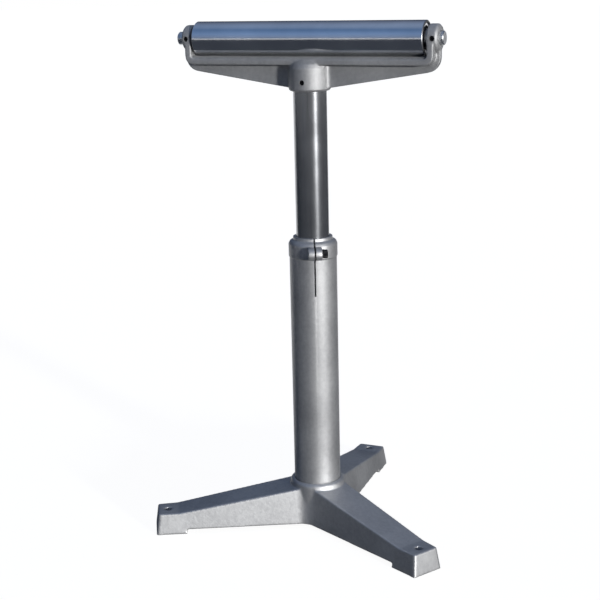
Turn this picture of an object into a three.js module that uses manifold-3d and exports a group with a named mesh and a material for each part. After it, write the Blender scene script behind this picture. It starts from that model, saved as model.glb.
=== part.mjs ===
// Single-roller work stand: a cast three-legged foot, a split clamp column, a sliding post and a
// cast yoke that carries a ball-bearing roller. Millimetres, +Z up, standing on z = 0.
import * as THREE from 'three';
import { mergeVertices } from 'three/addons/utils/BufferGeometryUtils.js';
import Module from 'manifold-3d';

const wasm = await Module();
wasm.setup();

// Gap between any two pieces that fit together, and how far a cut runs past the face it opens.
const FIT = 0.3;
const CUT_PAST = 1;

// Roller and its axle.
const ROLLER_LENGTH = 360;
const ROLLER_DIAMETER = 50;
const ROLLER_WALL = 5;
const ROLLER_CHAMFER = 1;
const AXLE_DIAMETER = 20;
const AXLE_OVERHANG = 8.75;
const AXLE_SHIFT = -3;
const AXLE_CHAMFER = 1.2;

// Deep-groove ball bearings in the ends of the roller.
const BEARING_OUTER = 42;
const BEARING_WIDTH = 12;
const BEARING_RECESS = 1.5;
const BALL_DIAMETER = 6.35;
const BALL_COUNT = 9;
const RACE_SHOULDER = 2.1;
const CAGE_THICKNESS = 2.2;
const CAGE_WIDTH = 8.6;
const SEAL_THICKNESS = 0.8;
const SEAL_RECESS = 0.3;

// Cast yoke: a U-shaped flange with a rib along its outside and a socket under its middle.
const YOKE_SIDE_GAP = 4.5;
const YOKE_FLOOR_GAP = 4;
const YOKE_DEPTH = 40;
const ARM_THICKNESS = 9.5;
const PLATE_THICKNESS = 8.5;
const PLATE_OUTER_RADIUS = 12;
const PLATE_INNER_RADIUS = 6;
const PLATE_CROWN = 3.2;
const PLATE_CROWN_SLOPE = 5;
const EAR_DIAMETER = 40;
const EAR_LENGTH = 15.5;
const EAR_EDGE = 3;
const RIB_THICKNESS = 9;
const RIB_STAND = 6.5;
const RIB_ROOT_DROP = 34;
const RIB_TIP_DROP = 8;
const RIB_CORNER_RADIUS = 22;
const RIB_FILLET = 7;
const SOCKET_DIAMETER = 62;
const SOCKET_DROP = 38;
const SOCKET_EDGE = 2.5;
const SOCKET_CROWN = 13;
const SOCKET_ROOF = 8;

// Set screws that hold the axle and the post.
const SET_SCREW_DIAMETER = 7.4;
const SET_SCREW_KEY = 4;
const SET_SCREW_KEY_DEPTH = 3;
const SET_SCREW_SINK = 2;
const POST_SCREW_RISE = 13.5;

// Sliding post and how far it stands out of the clamp column as shown.
const POST_DIAMETER = 50;
const POST_WALL = 5;
const POST_CHAMFER = 1.5;
const POST_SHOWN = 217;
const POST_HELD = 210;

// Clamp column: a cast tube, bored and slit at its head, with two lugs.
const COLUMN_HEIGHT = 459.5;
const COLUMN_DIAMETER = 72;
const COLUMN_CORE_GAP = 3;
const COLUMN_BORED_LENGTH = 130;
const COLLAR_STAND = 1.1;
const COLLAR_HEIGHT = 19;
const COLLAR_TOP_DROP = 11;
const RIM_WALL = 4.6;
const RIM_HEIGHT = 4.5;
const RIM_EDGE = 0.8;
const SLIT_WIDTH = 2.6;
const SLIT_LENGTH = 87;
const SLIT_ANGLE = THREE.MathUtils.degToRad(-63.5);
const LUG_WIDTH = 9.2;
const LUG_HEIGHT = 19;
const LUG_DROP = 20;
const LUG_REACH = 7;

// Clamp screw.
const CLAMP_SCREW_DIAMETER = 8;
const CLAMP_HEAD_DIAMETER = 13;
const CLAMP_HEAD_LENGTH = 8;
const CLAMP_HEAD_EDGE = 0.8;
const CLAMP_KEY = 6;
const CLAMP_KEY_DEPTH = 4;

// Cast foot: three hollow drafted legs round a hub, each ending in a flat bolt-down pad.
const LEG_COUNT = 3;
const LEG_REACH = 258;
const LEG_ROOT_HALF = 40.6;
const LEG_TAPER = 0.0553;
const LEG_PEAK = 68;
const LEG_DRAFT = 0.14;
const LEG_CORNER_RADIUS = 3;
const LEG_CROTCH_RADIUS = 24;
const LEG_WALL = 7;
const LEG_ROOF = 8;
const LEG_CLEARANCE = 7;
const PAD_LENGTH = 48;
const PAD_TOP_LENGTH = 36;
const PAD_HEIGHT = 33;
const ANCHOR_DIAMETER = 11;
const ANCHOR_INSET = 20;
const HUB_DIAMETER = 86;
const HUB_HEIGHT = 72;
const HUB_EDGE = 6;
const HUB_FLOOR_THICKNESS = 9;
const HUB_FLOOR_BORE = 44;

// How finely round forms are faceted.
const ROUND_STEPS = 48;
const RING_STEPS = 24;
const SMALL_STEPS = 16;
const BALL_STEPS = 8;
const ARC_STEPS = 3;

// Points closer than this are one point.
const SAME_POINT = 1e-4;

// Sizes that follow from the ones above.
const yokeHalfInside = ROLLER_LENGTH / 2 + YOKE_SIDE_GAP;
const yokeHalfOutside = yokeHalfInside + ARM_THICKNESS;
const earMiddle = yokeHalfInside + EAR_LENGTH / 2;
const axleHalfLength = yokeHalfInside + EAR_LENGTH + AXLE_OVERHANG;
const plateTop = -(ROLLER_DIAMETER / 2 + YOKE_FLOOR_GAP);
const plateBottom = plateTop - PLATE_THICKNESS;
const socketBottom = plateBottom - SOCKET_DROP;
const socketTop = plateTop - SOCKET_ROOF;
const bearingMiddle = ROLLER_LENGTH / 2 - BEARING_RECESS - BEARING_WIDTH / 2;
const bearingPitch = (AXLE_DIAMETER + BEARING_OUTER) / 4;
const columnBore = POST_DIAMETER + 2 * FIT;
const slitHalf = SLIT_WIDTH / 2;
const lugOuter = slitHalf + LUG_WIDTH;
const lugAxisRadius = COLUMN_DIAMETER / 2 + LUG_REACH;
const clampHeight = COLUMN_HEIGHT - LUG_DROP;
const legFall = (LEG_PEAK - PAD_HEIGHT) / (LEG_REACH - PAD_TOP_LENGTH);
const columnFoot = LEG_CLEARANCE + HUB_FLOOR_THICKNESS + FIT;
const rollerHeight = COLUMN_HEIGHT + POST_SHOWN - socketBottom;

// Finishes.
const castPaint = new THREE.MeshStandardMaterial({ color: 0xa9adb2, roughness: 0.42, metalness: 0.35 });
const polishedSteel = new THREE.MeshStandardMaterial({ color: 0x9aa3b0, roughness: 0.18, metalness: 1 });
const darkSteel = new THREE.MeshStandardMaterial({ color: 0x565a60, roughness: 0.28, metalness: 1 });
const brightZinc = new THREE.MeshStandardMaterial({ color: 0xd3d7da, roughness: 0.3, metalness: 1 });
const blackOxide = new THREE.MeshStandardMaterial({ color: 0x1b1b1f, roughness: 0.5, metalness: 0.6 });
const bearingSteel = new THREE.MeshStandardMaterial({ color: 0xc4c8cc, roughness: 0.15, metalness: 1 });
const brassFinish = new THREE.MeshStandardMaterial({ color: 0xb39350, roughness: 0.35, metalness: 1 });
const sealRubber = new THREE.MeshStandardMaterial({ color: 0x202022, roughness: 0.8, metalness: 0 });

// A closed geometry as a solid that can be joined and cut.
function solid(geometry) {
  const bare = geometry.clone();
  bare.deleteAttribute('normal');
  bare.deleteAttribute('uv');
  const merged = mergeVertices(bare, SAME_POINT);
  const corners = merged.index.array;
  const kept = [];
  for (let i = 0; i < corners.length; i += 3) {
    const [a, b, c] = corners.slice(i, i + 3);
    if (a !== b && b !== c && c !== a) kept.push(a, b, c);
  }
  const vertProperties = new Float32Array(merged.attributes.position.array);
  return new wasm.Manifold(new wasm.Mesh({ numProp: 3, vertProperties, triVerts: new Uint32Array(kept) }));
}

// A solid as a named mesh in a group.
function addPiece(group, name, body, finish) {
  const { vertProperties, triVerts } = body.getMesh();
  const geometry = new THREE.BufferGeometry();
  geometry.setAttribute('position', new THREE.BufferAttribute(vertProperties, 3));
  geometry.setIndex(new THREE.BufferAttribute(triVerts, 1));
  geometry.computeVertexNormals();
  const mesh = new THREE.Mesh(geometry, finish);
  mesh.name = name;
  group.add(mesh);
}

// A turned solid about Z: the profile holds [radius, height] points, up the outside first.
function turned(profile, steps = ROUND_STEPS) {
  const points = profile.map(([radius, height]) => new THREE.Vector2(radius, height));
  return new THREE.LatheGeometry(points, steps).rotateX(Math.PI / 2);
}

// The same about X, with the heights running along +X.
function turnedAlongX(profile, steps = ROUND_STEPS) {
  return turned(profile, steps).rotateY(Math.PI / 2);
}

// A turned ring: outside up, inside down, closed on itself.
function ringProfile(inner, outer, low, high) {
  return [[outer, low], [outer, high], [inner, high], [inner, low], [outer, low]];
}

// A rod about Z between two heights.
function rod(diameter, low, high, steps = SMALL_STEPS) {
  const geometry = new THREE.CylinderGeometry(diameter / 2, diameter / 2, high - low, steps);
  return geometry.rotateX(Math.PI / 2).translate(0, 0, (low + high) / 2);
}

// A hexagon key hole about Z, given across its flats.
function keyHole(acrossFlats, low, high) {
  return rod(2 * acrossFlats / Math.sqrt(3), low, high, 6);
}

// Points of a quarter round from one angle to another, in degrees, as [radius, height].
function quarter(radius, height, size, from, to) {
  const points = [];
  for (let step = 0; step <= 2 * ARC_STEPS; step += 1) {
    const angle = THREE.MathUtils.degToRad(from + (to - from) * step / (2 * ARC_STEPS));
    points.push([radius + size * Math.cos(angle), height + size * Math.sin(angle)]);
  }
  return points;
}

// An anticlockwise outline of [x, y, fillet] corners.
function filletedShape(corners) {
  const shape = new THREE.Shape();
  corners.forEach(([x, y, fillet = 0], index) => {
    const corner = new THREE.Vector2(x, y);
    const [beforeX, beforeY] = corners.at(index - 1);
    const [afterX, afterY] = corners[(index + 1) % corners.length];
    const toBefore = new THREE.Vector2(beforeX, beforeY).sub(corner).normalize();
    const toAfter = new THREE.Vector2(afterX, afterY).sub(corner).normalize();
    const half = Math.acos(toBefore.dot(toAfter)) / 2;
    const start = corner.clone().addScaledVector(toBefore, fillet / Math.tan(half));
    if (index === 0) shape.moveTo(start.x, start.y);
    else shape.lineTo(start.x, start.y);
    if (!fillet) return;
    const end = corner.clone().addScaledVector(toAfter, fillet / Math.tan(half));
    const inward = toBefore.clone().add(toAfter).normalize();
    const centre = corner.clone().addScaledVector(inward, fillet / Math.sin(half));
    const hollow = toBefore.cross(toAfter) > 0;
    const from = start.sub(centre).angle();
    const to = end.sub(centre).angle();
    shape.absarc(centre.x, centre.y, fillet, from, to, hollow);
  });
  shape.closePath();
  return shape;
}

// A shape in X and Z, given depth about y = 0.
function uprightPlate(shape, depth) {
  const settings = { depth, bevelEnabled: false, curveSegments: ARC_STEPS };
  return new THREE.ExtrudeGeometry(shape, settings).translate(0, 0, -depth / 2).rotateX(Math.PI / 2);
}

// A flat shape raised from one height to another.
function slab(shape, low, high) {
  const settings = { depth: high - low, bevelEnabled: false, curveSegments: ARC_STEPS };
  return new THREE.ExtrudeGeometry(shape, settings).translate(0, 0, low);
}

// Foot plan: legs at equal angles with rounded ends and filleted crotches, as a ring of points.
function legPlan(rootHalf, reach, crotchRadius) {
  const half = Math.PI / LEG_COUNT;
  const crotch = rootHalf / (Math.sin(half) + LEG_TAPER * Math.cos(half));
  const tipHalf = rootHalf - LEG_TAPER * reach;
  const corners = [];
  for (let leg = 0; leg < LEG_COUNT; leg += 1) {
    const angle = Math.PI / 2 + 2 * half * leg;
    const along = new THREE.Vector2(Math.cos(angle), Math.sin(angle));
    const across = new THREE.Vector2(-along.y, along.x);
    for (const side of [-1, 1]) {
      const tip = along.clone().multiplyScalar(reach).addScaledVector(across, side * tipHalf);
      corners.push([tip.x, tip.y, LEG_CORNER_RADIUS]);
    }
    corners.push([crotch * Math.cos(angle + half), crotch * Math.sin(angle + half), crotchRadius]);
  }
  const points = filletedShape(corners).getPoints(ARC_STEPS);
  return points.filter((point, index) => point.distanceTo(points.at(index - 1)) > SAME_POINT);
}

// Legs with drafted walls: a loft from just under z = 0, where the plan has its full size, to a height.
function draftedLegs(rootHalf, reach, crotchRadius, height) {
  const positions = [];
  const corners = [];
  const levels = [-CUT_PAST, height];
  let count = 0;
  levels.forEach((level, end) => {
    const lean = level * LEG_DRAFT;
    const plan = legPlan(rootHalf - lean, reach - lean, crotchRadius + lean);
    count = plan.length;
    plan.forEach(({ x, y }) => positions.push(x, y, level));
    for (const face of THREE.ShapeUtils.triangulateShape(plan, [])) {
      const cap = face.map((corner) => corner + end * count);
      corners.push(...(end ? cap : cap.reverse()));
    }
  });
  for (let low = 0; low < count; low += 1) {
    const next = (low + 1) % count;
    corners.push(low, next, next + count, low, next + count, low + count);
  }
  const geometry = new THREE.BufferGeometry();
  geometry.setAttribute('position', new THREE.Float32BufferAttribute(positions, 3));
  return geometry.setIndex(corners);
}

// A roof whose flat sides fall away along the legs.
function legRoof(peak) {
  const radius = peak / legFall / Math.cos(Math.PI / LEG_COUNT);
  return new THREE.ConeGeometry(radius, peak, LEG_COUNT).rotateX(Math.PI / 2).translate(0, 0, peak / 2);
}

// Room under the legs, up to the inner end of each pad.
function legRelief(reach, high) {
  const radius = reach / Math.cos(Math.PI / LEG_COUNT);
  const geometry = new THREE.CylinderGeometry(radius, radius, high + CUT_PAST, LEG_COUNT);
  return geometry.rotateX(Math.PI / 2).translate(0, 0, (high - CUT_PAST) / 2);
}

// The cast foot, hollow from below, with a blind socket for the column.
function footCasting() {
  const padStart = LEG_REACH - PAD_LENGTH;
  const form = solid(draftedLegs(LEG_ROOT_HALF, LEG_REACH, LEG_CROTCH_RADIUS, LEG_PEAK));
  const padLevel = solid(rod(2 * LEG_REACH + 2 * PAD_LENGTH, 0, PAD_HEIGHT, ROUND_STEPS));
  const outside = form.intersect(solid(legRoof(LEG_PEAK)).add(padLevel));
  const hubProfile = [
    [0, 0],
    [HUB_DIAMETER / 2, 0],
    ...quarter(HUB_DIAMETER / 2 - HUB_EDGE, HUB_HEIGHT - HUB_EDGE, HUB_EDGE, 0, 90),
    [0, HUB_HEIGHT],
  ];
  const hub = solid(turned(hubProfile));
  const roomHalf = LEG_ROOT_HALF - LEG_WALL;
  const roomPeak = LEG_PEAK - LEG_ROOF;
  const hollow = draftedLegs(roomHalf, padStart - LEG_WALL, LEG_CROTCH_RADIUS + LEG_WALL, roomPeak);
  const room = solid(hollow).intersect(solid(legRoof(roomPeak)));
  const seat = solid(rod(COLUMN_DIAMETER + 2 * FIT, columnFoot - FIT, HUB_HEIGHT + CUT_PAST, ROUND_STEPS));
  let casting = outside.subtract(room).add(hub);
  casting = casting.subtract(solid(legRelief(padStart, LEG_CLEARANCE))).subtract(seat);
  casting = casting.subtract(solid(rod(HUB_FLOOR_BORE, 0, columnFoot, ROUND_STEPS)));
  for (let leg = 0; leg < LEG_COUNT; leg += 1) {
    const angle = Math.PI / 2 + 2 * Math.PI / LEG_COUNT * leg;
    const anchor = rod(ANCHOR_DIAMETER, -CUT_PAST, LEG_PEAK);
    anchor.translate(LEG_REACH - ANCHOR_INSET, 0, 0).rotateZ(angle);
    casting = casting.subtract(solid(anchor));
  }
  return casting;
}

// The clamp column, modelled with its slit towards +X and the clamp screw along Y.
function clampColumn() {
  const radius = COLUMN_DIAMETER / 2;
  const collar = radius + COLLAR_STAND;
  const rim = columnBore / 2 + RIM_WALL;
  const bore = columnBore / 2;
  const core = bore + COLUMN_CORE_GAP;
  const collarTop = COLUMN_HEIGHT - COLLAR_TOP_DROP;
  const collarFoot = collarTop - COLLAR_HEIGHT;
  const shoulder = COLUMN_HEIGHT - RIM_HEIGHT;
  const boreFoot = COLUMN_HEIGHT - COLUMN_BORED_LENGTH;
  const profile = [
    [radius, columnFoot],
    [radius, collarFoot - COLLAR_STAND],
    [collar, collarFoot],
    [collar, collarTop],
    [(2 * collar + rim) / 3, (collarTop + 2 * shoulder) / 3],
    [rim, shoulder],
    [rim, COLUMN_HEIGHT - RIM_EDGE],
    [rim - RIM_EDGE, COLUMN_HEIGHT],
    [bore, COLUMN_HEIGHT],
    [bore, boreFoot],
    [core, boreFoot - COLUMN_CORE_GAP],
    [core, columnFoot],
    [radius, columnFoot],
  ];
  const tube = solid(turned(profile));
  const lugNose = rod(LUG_HEIGHT, -lugOuter, lugOuter).rotateX(Math.PI / 2);
  const lugRoot = new THREE.BoxGeometry(lugAxisRadius - core, 2 * lugOuter, LUG_HEIGHT);
  lugRoot.translate((core - lugAxisRadius) / 2, 0, 0);
  const lug = solid(lugNose).add(solid(lugRoot)).translate([lugAxisRadius, 0, clampHeight]);
  const passage = solid(rod(columnBore, boreFoot, COLUMN_HEIGHT + CUT_PAST, ROUND_STEPS));
  const slitReach = lugAxisRadius + LUG_HEIGHT;
  const slit = new THREE.BoxGeometry(slitReach, SLIT_WIDTH, 2 * SLIT_LENGTH);
  slit.translate(slitReach / 2, 0, COLUMN_HEIGHT);
  const holeEnd = lugOuter + CUT_PAST;
  const screwHole = rod(CLAMP_SCREW_DIAMETER + 2 * FIT, -holeEnd, holeEnd).rotateX(Math.PI / 2);
  screwHole.translate(lugAxisRadius, 0, clampHeight);
  return tube.add(lug).subtract(passage).subtract(solid(slit)).subtract(solid(screwHole));
}

// A hexagon-socket cap screw along +Y, its head resting on the plane y = 0.
function capScrew(shankLength) {
  const head = CLAMP_HEAD_DIAMETER / 2;
  const shank = CLAMP_SCREW_DIAMETER / 2;
  const profile = [
    [0, -shankLength],
    [shank - CLAMP_HEAD_EDGE, -shankLength],
    [shank, -shankLength + CLAMP_HEAD_EDGE],
    [shank, 0],
    [head, 0],
    [head, CLAMP_HEAD_LENGTH - CLAMP_HEAD_EDGE],
    [head - CLAMP_HEAD_EDGE, CLAMP_HEAD_LENGTH],
    [0, CLAMP_HEAD_LENGTH],
  ];
  const key = keyHole(CLAMP_KEY, CLAMP_HEAD_LENGTH - CLAMP_KEY_DEPTH, CLAMP_HEAD_LENGTH + CUT_PAST);
  const screw = solid(turned(profile, SMALL_STEPS)).subtract(solid(key));
  return screw.rotate([-90, 0, 0]);
}

// A socket set screw that points along +Y, between two depths below the axis line.
function setScrew(tip, tail) {
  const body = rod(SET_SCREW_DIAMETER, tip, tail);
  const key = keyHole(SET_SCREW_KEY, tail - SET_SCREW_KEY_DEPTH, tail + CUT_PAST);
  return solid(body).subtract(solid(key)).rotate([90, 0, 0]);
}

// The sliding post, with the roller axis at the origin height.
function post() {
  const outer = POST_DIAMETER / 2;
  const inner = outer - POST_WALL;
  const low = socketBottom - POST_SHOWN - POST_HELD;
  const high = socketTop - FIT;
  const profile = [
    [outer - POST_CHAMFER, low],
    [outer, low + POST_CHAMFER],
    [outer, high - POST_CHAMFER],
    [outer - POST_CHAMFER, high],
    [inner, high],
    [inner, low],
    [outer - POST_CHAMFER, low],
  ];
  return solid(turned(profile));
}

// Yoke flange: one plate bent up at both ends, seen from the front as a shallow U.
function yokeFlange() {
  const shape = filletedShape([
    [-yokeHalfOutside, plateBottom, PLATE_OUTER_RADIUS],
    [yokeHalfOutside, plateBottom, PLATE_OUTER_RADIUS],
    [yokeHalfOutside, 0],
    [yokeHalfInside, 0],
    [yokeHalfInside, plateTop, PLATE_INNER_RADIUS],
    [-yokeHalfInside, plateTop, PLATE_INNER_RADIUS],
    [-yokeHalfInside, 0],
    [-yokeHalfOutside, 0],
  ]);
  return solid(uprightPlate(shape, YOKE_DEPTH));
}

// A raised land along the top of the plate, under the roller, sloped off to the front and back.
function plateCrown() {
  const half = YOKE_DEPTH / 2;
  const flat = half - PLATE_CROWN_SLOPE;
  const low = plateTop - PLATE_THICKNESS / 2;
  const high = plateTop + PLATE_CROWN;
  const length = yokeHalfInside + yokeHalfOutside;
  const section = filletedShape([
    [-half, low],
    [half, low],
    [half, plateTop],
    [flat, high],
    [-flat, high],
    [-half, plateTop],
  ]);
  const crown = slab(section, -length / 2, length / 2);
  return solid(crown.rotateX(Math.PI / 2).rotateZ(Math.PI / 2));
}

// Yoke rib: deepest at the socket and flared there, then out, round the corner and up into the ears.
function yokeRib() {
  const outer = yokeHalfOutside + RIB_STAND;
  const root = SOCKET_DIAMETER / 2;
  const rootLow = plateBottom - RIB_ROOT_DROP;
  const tipLow = plateBottom - RIB_TIP_DROP;
  const middle = (yokeHalfInside + yokeHalfOutside) / 2;
  const inset = plateTop - PLATE_THICKNESS / 2;
  const outline = filletedShape([
    [-outer, tipLow, RIB_CORNER_RADIUS],
    [-root, rootLow],
    [root, rootLow],
    [outer, tipLow, RIB_CORNER_RADIUS],
    [outer, 0],
    [middle, 0],
    [middle, inset],
    [-middle, inset],
    [-middle, 0],
    [-outer, 0],
  ]);
  const half = RIB_THICKNESS / 2;
  const flare = half + RIB_FILLET + CUT_PAST;
  const flareRoot = Math.sqrt(root ** 2 - flare ** 2);
  const past = outer + CUT_PAST;
  const plan = filletedShape([
    [-past, -half],
    [-flareRoot, -half, RIB_FILLET],
    [-flareRoot, -flare],
    [flareRoot, -flare],
    [flareRoot, -half, RIB_FILLET],
    [past, -half],
    [past, half],
    [flareRoot, half, RIB_FILLET],
    [flareRoot, flare],
    [-flareRoot, flare],
    [-flareRoot, half, RIB_FILLET],
    [-past, half],
  ]);
  const along = solid(slab(plan, rootLow - CUT_PAST, CUT_PAST));
  return solid(uprightPlate(outline, SOCKET_DIAMETER)).intersect(along);
}

// Round socket under the yoke, its crown sloping back to the front edge of the plate.
function yokeSocket() {
  const radius = SOCKET_DIAMETER / 2;
  const profile = [
    [0, socketBottom],
    [radius - SOCKET_EDGE, socketBottom],
    [radius, socketBottom + SOCKET_EDGE],
    [radius, plateTop - SOCKET_CROWN],
    [(3 * radius + YOKE_DEPTH / 2) / 4, plateTop - SOCKET_CROWN / 2],
    [YOKE_DEPTH / 2, plateTop - FIT],
    [0, plateTop - FIT],
  ];
  return solid(turned(profile));
}

// The whole yoke, bored for the axle and the post and drilled for the set screws.
function yokeCasting() {
  let yoke = yokeFlange().add(plateCrown()).add(yokeRib()).add(yokeSocket());
  const screwHole = SET_SCREW_DIAMETER + 2 * FIT;
  const earEdge = EAR_DIAMETER / 2 - EAR_EDGE;
  for (const side of [-1, 1]) {
    const earProfile = [
      [0, -EAR_LENGTH / 2],
      [EAR_DIAMETER / 2, -EAR_LENGTH / 2],
      [EAR_DIAMETER / 2, EAR_LENGTH / 2 - EAR_EDGE],
      [earEdge, EAR_LENGTH / 2],
      [0, EAR_LENGTH / 2],
    ];
    const ear = turnedAlongX(earProfile);
    if (side < 0) ear.rotateZ(Math.PI);
    yoke = yoke.add(solid(ear.translate(side * earMiddle, 0, 0)));
  }
  for (const side of [-1, 1]) {
    const bore = rod(AXLE_DIAMETER + 2 * FIT, -EAR_LENGTH, EAR_LENGTH, RING_STEPS).rotateY(Math.PI / 2);
    yoke = yoke.subtract(solid(bore.translate(side * earMiddle, 0, 0)));
    const hole = rod(screwHole, 0, EAR_DIAMETER).rotateX(Math.PI / 2).translate(side * earMiddle, 0, 0);
    yoke = yoke.subtract(solid(hole));
  }
  const seat = rod(POST_DIAMETER + 2 * FIT, socketBottom - CUT_PAST, socketTop, ROUND_STEPS);
  const postHole = rod(screwHole, 0, SOCKET_DIAMETER).rotateX(Math.PI / 2);
  postHole.translate(0, 0, socketBottom + POST_SCREW_RISE);
  return yoke.subtract(solid(seat)).subtract(solid(postHole));
}

// Roller tube, counterbored at both ends for its bearings.
function rollerTube() {
  const half = ROLLER_LENGTH / 2;
  const outer = ROLLER_DIAMETER / 2;
  const inner = outer - ROLLER_WALL;
  const seat = BEARING_OUTER / 2 + FIT;
  const seatDepth = half - BEARING_RECESS - BEARING_WIDTH - FIT;
  return solid(turnedAlongX([
    [outer - ROLLER_CHAMFER, -half],
    [outer, -half + ROLLER_CHAMFER],
    [outer, half - ROLLER_CHAMFER],
    [outer - ROLLER_CHAMFER, half],
    [seat, half],
    [seat, seatDepth],
    [inner, seatDepth],
    [inner, -seatDepth],
    [seat, -seatDepth],
    [seat, -half],
    [outer - ROLLER_CHAMFER, -half],
  ]));
}

// Axle rod with chamfered ends. Its set screws hold it a little to the left.
function axleRod() {
  const radius = AXLE_DIAMETER / 2;
  return solid(turnedAlongX([
    [0, -axleHalfLength],
    [radius - AXLE_CHAMFER, -axleHalfLength],
    [radius, -axleHalfLength + AXLE_CHAMFER],
    [radius, axleHalfLength - AXLE_CHAMFER],
    [radius - AXLE_CHAMFER, axleHalfLength],
    [0, axleHalfLength],
  ], RING_STEPS));
}

// Bearing rings, each with a groove that clears the balls by the fit.
function bearingRings() {
  const half = BEARING_WIDTH / 2;
  const groove = BALL_DIAMETER / 2 + FIT;
  const opening = THREE.MathUtils.radToDeg(Math.acos(RACE_SHOULDER / groove));
  const bore = AXLE_DIAMETER / 2 + FIT;
  const outside = BEARING_OUTER / 2;
  const inner = bearingPitch - RACE_SHOULDER;
  const outer = bearingPitch + RACE_SHOULDER;
  const innerGroove = quarter(bearingPitch, 0, groove, 180 + opening, 180 - opening);
  const outerGroove = quarter(bearingPitch, 0, groove, opening, -opening);
  const innerProfile = [
    [inner, -half], ...innerGroove, [inner, half], [bore, half], [bore, -half], [inner, -half],
  ];
  const outerProfile = [
    [outside, -half], [outside, half], [outer, half], ...outerGroove, [outer, -half], [outside, -half],
  ];
  return {
    inner: solid(turnedAlongX(innerProfile, RING_STEPS)),
    outer: solid(turnedAlongX(outerProfile, RING_STEPS)),
  };
}

// Angles of the balls round the X axis, from +Z.
function ballAngles() {
  return Array.from({ length: BALL_COUNT }, (unused, ball) => 2 * Math.PI * ball / BALL_COUNT);
}

// Ball cage: a ring with one drilled pocket for each ball.
function ballCage() {
  const inner = bearingPitch - CAGE_THICKNESS / 2;
  const outer = bearingPitch + CAGE_THICKNESS / 2;
  const band = ringProfile(inner, outer, -CAGE_WIDTH / 2, CAGE_WIDTH / 2);
  let cage = solid(turnedAlongX(band, 2 * BALL_COUNT));
  for (const angle of ballAngles()) {
    const pocket = rod(BALL_DIAMETER + 2 * FIT, inner - CAGE_THICKNESS, outer + CAGE_THICKNESS);
    cage = cage.subtract(solid(pocket.rotateX(angle)));
  }
  return cage;
}

// One ball in its pocket.
function bearingBall(angle) {
  const ball = new THREE.SphereGeometry(BALL_DIAMETER / 2, BALL_STEPS, BALL_STEPS - 2);
  return solid(ball.translate(0, 0, bearingPitch).rotateX(angle));
}

// Assembly, from the floor up.
const stand = new THREE.Group();
addPiece(stand, 'base_casting', footCasting(), castPaint);

const clamp = new THREE.Group();
clamp.rotation.z = SLIT_ANGLE;
stand.add(clamp);
addPiece(clamp, 'outer_column', clampColumn(), castPaint);
const clampScrew = capScrew(2 * lugOuter).translate([lugAxisRadius, lugOuter + FIT, clampHeight]);
addPiece(clamp, 'clamp_screw', clampScrew, blackOxide);

const head = new THREE.Group();
head.position.z = rollerHeight;
stand.add(head);
addPiece(head, 'inner_column', post(), darkSteel);
addPiece(head, 'head_yoke', yokeCasting(), castPaint);
const postScrew = setScrew(POST_DIAMETER / 2 + FIT, SOCKET_DIAMETER / 2 - SET_SCREW_SINK);
addPiece(head, 'column_set_screw', postScrew.translate([0, 0, socketBottom + POST_SCREW_RISE]), blackOxide);
addPiece(head, 'axle', axleRod().translate([AXLE_SHIFT, 0, 0]), brightZinc);
addPiece(head, 'roller_tube', rollerTube(), polishedSteel);

// Both ends of the roller are alike, mirrored about its middle.
const rings = bearingRings();
const cage = ballCage();
const sealInner = bearingPitch - RACE_SHOULDER + FIT;
const sealOuter = bearingPitch + RACE_SHOULDER - FIT;
const sealMiddle = BEARING_WIDTH / 2 - SEAL_RECESS - SEAL_THICKNESS / 2;
const sealProfile = ringProfile(sealInner, sealOuter, -SEAL_THICKNESS / 2, SEAL_THICKNESS / 2);
const seal = solid(turnedAlongX(sealProfile, RING_STEPS));
const spacerLow = ROLLER_LENGTH / 2 - BEARING_RECESS + FIT;
const spacerHigh = yokeHalfInside - FIT;
const spacerHalf = (spacerHigh - spacerLow) / 2;
const spacerInner = AXLE_DIAMETER / 2 + FIT;
const spacerOuter = bearingPitch - RACE_SHOULDER;
const spacerProfile = ringProfile(spacerInner, spacerOuter, -spacerHalf, spacerHalf);
const spacer = solid(turnedAlongX(spacerProfile, RING_STEPS));
const axleScrew = setScrew(AXLE_DIAMETER / 2 + FIT, EAR_DIAMETER / 2 - SET_SCREW_SINK);
for (const [side, end] of [[-1, 'left'], [1, 'right']]) {
  const x = side * bearingMiddle;
  addPiece(head, `bearing_outer_ring_${end}`, rings.outer.translate([x, 0, 0]), bearingSteel);
  addPiece(head, `bearing_inner_ring_${end}`, rings.inner.translate([x, 0, 0]), bearingSteel);
  addPiece(head, `bearing_cage_${end}`, cage.translate([x, 0, 0]), brassFinish);
  ballAngles().forEach((angle, index) => {
    const ball = bearingBall(angle).translate([x, 0, 0]);
    addPiece(head, `bearing_ball_${end}_${index + 1}`, ball, bearingSteel);
  });
  addPiece(head, `bearing_seal_${end}_outer`, seal.translate([x + side * sealMiddle, 0, 0]), sealRubber);
  addPiece(head, `bearing_seal_${end}_inner`, seal.translate([x - side * sealMiddle, 0, 0]), sealRubber);
  const spacerMiddle = side * (spacerLow + spacerHigh) / 2;
  addPiece(head, `axle_spacer_${end}`, spacer.translate([spacerMiddle, 0, 0]), brightZinc);
  addPiece(head, `axle_set_screw_${end}`, axleScrew.translate([side * earMiddle, 0, 0]), blackOxide);
}

// The origin is on the floor under the middle of the stand's outline.
const outline = new THREE.Box3().setFromObject(stand);
stand.position.y = -(outline.min.y + outline.max.y) / 2;

export default stand;
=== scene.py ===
import math

import bmesh
import bpy
from mathutils import Matrix, Vector


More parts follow.
